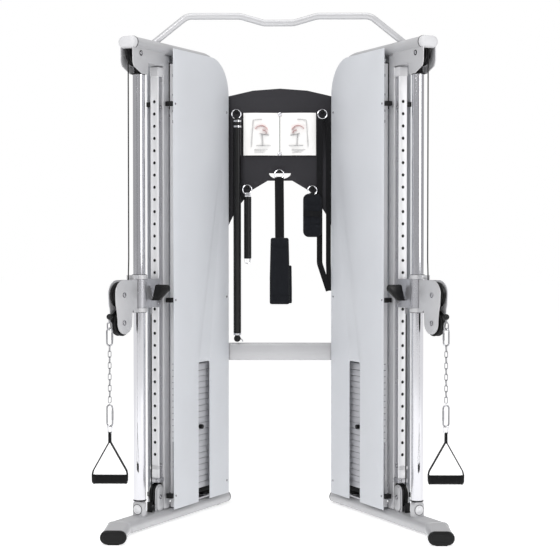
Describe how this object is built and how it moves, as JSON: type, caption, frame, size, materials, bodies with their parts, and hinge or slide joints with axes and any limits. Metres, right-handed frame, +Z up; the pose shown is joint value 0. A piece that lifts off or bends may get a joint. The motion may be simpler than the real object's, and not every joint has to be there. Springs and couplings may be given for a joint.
{
  "type": "functional trainer",
  "caption": "Cable functional trainer: toed-in shrouded weight towers with height-adjustable swivel pulleys, chain handles, a pull-up bar and an accessory board.",
  "frame": {"origin": "on the floor, at the centre of the bounding box", "axes": "+Z up, front towards -Y, the left tower as seen from the front at -X"},
  "size_m": [1.4672, 0.9326, 2.0998],
  "materials": {
    "frame_silver": "satin silver powder coat",
    "steel_silver": "satin silver coat",
    "chrome": "polished",
    "zinc": "bright zinc plate",
    "weight_plate": "satin grey",
    "shroud": "frosted pale",
    "board": "matt charcoal",
    "black_steel": "satin black",
    "black_plastic": "satin black",
    "pulley_black": "satin black",
    "cable_jacket": "smooth black",
    "black_rubber": "matt",
    "webbing": "woven"
  },
  "bodies": {
    "frame": {"base_beam_left": "frame_silver", "front_foot_left": "black_plastic", "rear_foot_left": "black_rubber", "front_upright_left": "frame_silver", "top_frame_tube_left": "frame_silver", "guide_tube_left": "chrome", "inner_shroud_left": "shroud", "outer_shroud_left": "shroud", "guide_rods_left": "chrome", "lower_plates_left": "weight_plate", "pull_cable_left": "cable_jacket", "base_beam_right": "frame_silver", "front_foot_right": "black_plastic", "rear_foot_right": "black_rubber", "front_upright_right": "frame_silver", "top_frame_tube_right": "frame_silver", "guide_tube_right": "chrome", "inner_shroud_right": "shroud", "outer_shroud_right": "shroud", "guide_rods_right": "chrome", "lower_plates_right": "weight_plate", "pull_cable_right": "cable_jacket", "pull_up_bar": "frame_silver", "rear_crossbeam": "frame_silver", "accessory_board": "board"},
    "carriage_left": {"carriage_left": "steel_silver"},
    "lever_left": {"adjust_lever_left": "black_plastic"},
    "arm_left": {"pulley_arm_left": "frame_silver"},
    "arm_wheel_upper_left": {"arm_pulley_upper_left": "pulley_black"},
    "arm_wheel_lower_left": {"arm_pulley_lower_left": "pulley_black"},
    "chain_left": {"chain_left": "zinc"},
    "strap_left": {"handle_strap_left": "webbing"},
    "grip_left": {"handle_grip_left": "black_rubber"},
    "stack_left": {"lifted_plates_left": "weight_plate"},
    "pin_left": {"selector_pin_left": "black_plastic"},
    "stack_wheel_left": {"stack_pulley_left": "pulley_black"},
    "top_wheel_left": {"top_pulley_left": "pulley_black"},
    "rear_wheel_left": {"rear_pulley_left": "pulley_black"},
    "return_wheel_left": {"return_pulley_left": "pulley_black"},
    "bottom_wheel_left": {"bottom_pulley_left": "pulley_black"},
    "carriage_right": {"carriage_right": "steel_silver"},
    "lever_right": {"adjust_lever_right": "black_plastic"},
    "arm_right": {"pulley_arm_right": "frame_silver"},
    "arm_wheel_upper_right": {"arm_pulley_upper_right": "pulley_black"},
    "arm_wheel_lower_right": {"arm_pulley_lower_right": "pulley_black"},
    "chain_right": {"chain_right": "zinc"},
    "strap_right": {"handle_strap_right": "webbing"},
    "grip_right": {"handle_grip_right": "black_rubber"},
    "stack_right": {"lifted_plates_right": "weight_plate"},
    "pin_right": {"selector_pin_right": "black_plastic"},
    "stack_wheel_right": {"stack_pulley_right": "pulley_black"},
    "top_wheel_right": {"top_pulley_right": "pulley_black"},
    "rear_wheel_right": {"rear_pulley_right": "pulley_black"},
    "return_wheel_right": {"return_pulley_right": "pulley_black"},
    "bottom_wheel_right": {"bottom_pulley_right": "pulley_black"},
    "long_bar": {"long_bar": "black_steel"},
    "short_bar": {"short_bar": "black_steel"},
    "crunch_strap": {"crunch_strap": "webbing"},
    "ankle_cuff": {"ankle_cuff": "webbing"},
    "strap_loop": {"strap_loop": "webbing"}
  },
  "joints": [
    {"name": "carriage_slide_left", "type": "slide", "parent": "frame", "child": "carriage_left", "axis": [0, 0, 1], "range_m": [-0.15, 0.8], "deforming": ["pull_cable_left"]},
    {"name": "adjust_pull_left", "type": "slide", "parent": "carriage_left", "child": "lever_left", "axis": [-0.4462, -0.8949, 0], "range_m": [0, 0.012], "stiffness_N_per_m": 400, "springref_m": -0.004},
    {"name": "arm_swivel_left", "type": "hinge", "parent": "carriage_left", "child": "arm_left", "pos_m": [-0.561, -0.14609, 0.9545], "axis": [0, 0, 1], "range_deg": [-80, 90], "deforming": ["pull_cable_left"]},
    {"name": "arm_wheel_upper_spin_left", "type": "hinge", "parent": "arm_left", "child": "arm_wheel_upper_left", "pos_m": [-0.62459, -0.24785, 0.952], "axis": [0.848, -0.5299, 0], "continuous": true},
    {"name": "arm_wheel_lower_spin_left", "type": "hinge", "parent": "arm_left", "child": "arm_wheel_lower_left", "pos_m": [-0.62459, -0.24785, 0.841], "axis": [0.848, -0.5299, 0], "continuous": true},
    {"name": "chain_swing_left", "type": "hinge", "parent": "arm_left", "child": "chain_left", "pos_m": [-0.66062, -0.30552, 0.868], "axis": [0.848, -0.5299, 0], "range_deg": [-90, 8], "deforming": ["pull_cable_left"]},
    {"name": "handle_swing_left", "type": "hinge", "parent": "chain_left", "child": "strap_left", "pos_m": [-0.66062, -0.30552, 0.4403], "axis": [0, 1, 0], "range_deg": [-45, 45]},
    {"name": "grip_spin_left", "type": "hinge", "parent": "strap_left", "child": "grip_left", "pos_m": [-0.66062, -0.30552, 0.228], "axis": [1, 0, 0], "continuous": true},
    {"name": "stack_lift_left", "type": "slide", "parent": "frame", "child": "stack_left", "axis": [0, 0, 1], "range_m": [0, 0.9], "deforming": ["pull_cable_left"]},
    {"name": "selector_slide_left", "type": "slide", "parent": "stack_left", "child": "pin_left", "axis": [0.8949, -0.4462, 0], "range_m": [0, 0.064]},
    {"name": "stack_wheel_spin_left", "type": "hinge", "parent": "stack_left", "child": "stack_wheel_left", "pos_m": [-0.38029, 0.21636, 0.715], "axis": [0.8949, -0.4462, 0], "continuous": true},
    {"name": "top_wheel_spin_left", "type": "hinge", "parent": "frame", "child": "top_wheel_left", "pos_m": [-0.57439, -0.17294, 1.917], "axis": [0.8949, -0.4462, 0], "continuous": true},
    {"name": "rear_wheel_spin_left", "type": "hinge", "parent": "frame", "child": "rear_wheel_left", "pos_m": [-0.38029, 0.21636, 1.917], "axis": [0.8949, -0.4462, 0], "continuous": true},
    {"name": "return_wheel_spin_left", "type": "hinge", "parent": "frame", "child": "return_wheel_left", "pos_m": [-0.44276, 0.09107, 1.815], "axis": [0.8949, -0.4462, 0], "continuous": true},
    {"name": "bottom_wheel_spin_left", "type": "hinge", "parent": "frame", "child": "bottom_wheel_left", "pos_m": [-0.50299, -0.02975, 0.121], "axis": [0.8949, -0.4462, 0], "continuous": true},
    {"name": "carriage_slide_right", "type": "slide", "parent": "frame", "child": "carriage_right", "axis": [0, 0, 1], "range_m": [-0.15, 0.8], "deforming": ["pull_cable_right"]},
    {"name": "adjust_pull_right", "type": "slide", "parent": "carriage_right", "child": "lever_right", "axis": [0.4462, -0.8949, 0], "range_m": [0, 0.012], "stiffness_N_per_m": 400, "springref_m": -0.004},
    {"name": "arm_swivel_right", "type": "hinge", "parent": "carriage_right", "child": "arm_right", "pos_m": [0.561, -0.14609, 0.9545], "axis": [0, 0, -1], "range_deg": [-80, 90], "deforming": ["pull_cable_right"]},
    {"name": "arm_wheel_upper_spin_right", "type": "hinge", "parent": "arm_right", "child": "arm_wheel_upper_right", "pos_m": [0.62459, -0.24785, 0.952], "axis": [0.848, 0.5299, 0], "continuous": true},
    {"name": "arm_wheel_lower_spin_right", "type": "hinge", "parent": "arm_right", "child": "arm_wheel_lower_right", "pos_m": [0.62459, -0.24785, 0.841], "axis": [0.848, 0.5299, 0], "continuous": true},
    {"name": "chain_swing_right", "type": "hinge", "parent": "arm_right", "child": "chain_right", "pos_m": [0.66062, -0.30552, 0.868], "axis": [0.848, 0.5299, 0], "range_deg": [-90, 8], "deforming": ["pull_cable_right"]},
    {"name": "handle_swing_right", "type": "hinge", "parent": "chain_right", "child": "strap_right", "pos_m": [0.66062, -0.30552, 0.4403], "axis": [0, -1, 0], "range_deg": [-45, 45]},
    {"name": "grip_spin_right", "type": "hinge", "parent": "strap_right", "child": "grip_right", "pos_m": [0.66062, -0.30552, 0.228], "axis": [1, 0, 0], "continuous": true},
    {"name": "stack_lift_right", "type": "slide", "parent": "frame", "child": "stack_right", "axis": [0, 0, 1], "range_m": [0, 0.9], "deforming": ["pull_cable_right"]},
    {"name": "selector_slide_right", "type": "slide", "parent": "stack_right", "child": "pin_right", "axis": [-0.8949, -0.4462, 0], "range_m": [0, 0.064]},
    {"name": "stack_wheel_spin_right", "type": "hinge", "parent": "stack_right", "child": "stack_wheel_right", "pos_m": [0.38029, 0.21636, 0.715], "axis": [0.8949, 0.4462, 0], "continuous": true},
    {"name": "top_wheel_spin_right", "type": "hinge", "parent": "frame", "child": "top_wheel_right", "pos_m": [0.57439, -0.17294, 1.917], "axis": [0.8949, 0.4462, 0], "continuous": true},
    {"name": "rear_wheel_spin_right", "type": "hinge", "parent": "frame", "child": "rear_wheel_right", "pos_m": [0.38029, 0.21636, 1.917], "axis": [0.8949, 0.4462, 0], "continuous": true},
    {"name": "return_wheel_spin_right", "type": "hinge", "parent": "frame", "child": "return_wheel_right", "pos_m": [0.44276, 0.09107, 1.815], "axis": [0.8949, 0.4462, 0], "continuous": true},
    {"name": "bottom_wheel_spin_right", "type": "hinge", "parent": "frame", "child": "bottom_wheel_right", "pos_m": [0.50299, -0.02975, 0.121], "axis": [0.8949, 0.4462, 0], "continuous": true},
    {"name": "long_bar_unhook", "type": "slide", "parent": "frame", "child": "long_bar", "axis": [0, -1, 0], "range_m": [0, 0.05]},
    {"name": "short_bar_unhook", "type": "slide", "parent": "frame", "child": "short_bar", "axis": [0, -1, 0], "range_m": [0, 0.05]},
    {"name": "crunch_strap_unhook", "type": "slide", "parent": "frame", "child": "crunch_strap", "axis": [0, -1, 0], "range_m": [0, 0.05]},
    {"name": "ankle_cuff_unhook", "type": "slide", "parent": "frame", "child": "ankle_cuff", "axis": [0, -1, 0], "range_m": [0, 0.05]},
    {"name": "strap_loop_lift", "type": "slide", "parent": "frame", "child": "strap_loop", "axis": [0, 0, 1], "range_m": [0, 0.015]}
  ],
  "couplings": [
    {"joint": "top_wheel_spin_left", "follows": "stack_lift_left", "rad_per_m": 42.553},
    {"joint": "rear_wheel_spin_left", "follows": "stack_lift_left", "rad_per_m": 42.553},
    {"joint": "stack_wheel_spin_left", "follows": "stack_lift_left", "rad_per_m": 21.277},
    {"joint": "arm_wheel_upper_spin_left", "follows": "stack_lift_left", "rad_per_m": -42.553},
    {"joint": "arm_wheel_lower_spin_left", "follows": "stack_lift_left", "rad_per_m": 42.553},
    {"joint": "return_wheel_spin_left", "follows": "carriage_slide_left", "rad_per_m": 10.753},
    {"joint": "bottom_wheel_spin_left", "follows": "carriage_slide_left", "rad_per_m": -23.809},
    {"joint": "top_wheel_spin_right", "follows": "stack_lift_right", "rad_per_m": 42.553},
    {"joint": "rear_wheel_spin_right", "follows": "stack_lift_right", "rad_per_m": 42.553},
    {"joint": "stack_wheel_spin_right", "follows": "stack_lift_right", "rad_per_m": 21.277},
    {"joint": "arm_wheel_upper_spin_right", "follows": "stack_lift_right", "rad_per_m": -42.553},
    {"joint": "arm_wheel_lower_spin_right", "follows": "stack_lift_right", "rad_per_m": 42.553},
    {"joint": "return_wheel_spin_right", "follows": "carriage_slide_right", "rad_per_m": 10.753},
    {"joint": "bottom_wheel_spin_right", "follows": "carriage_slide_right", "rad_per_m": -23.809}
  ]
}
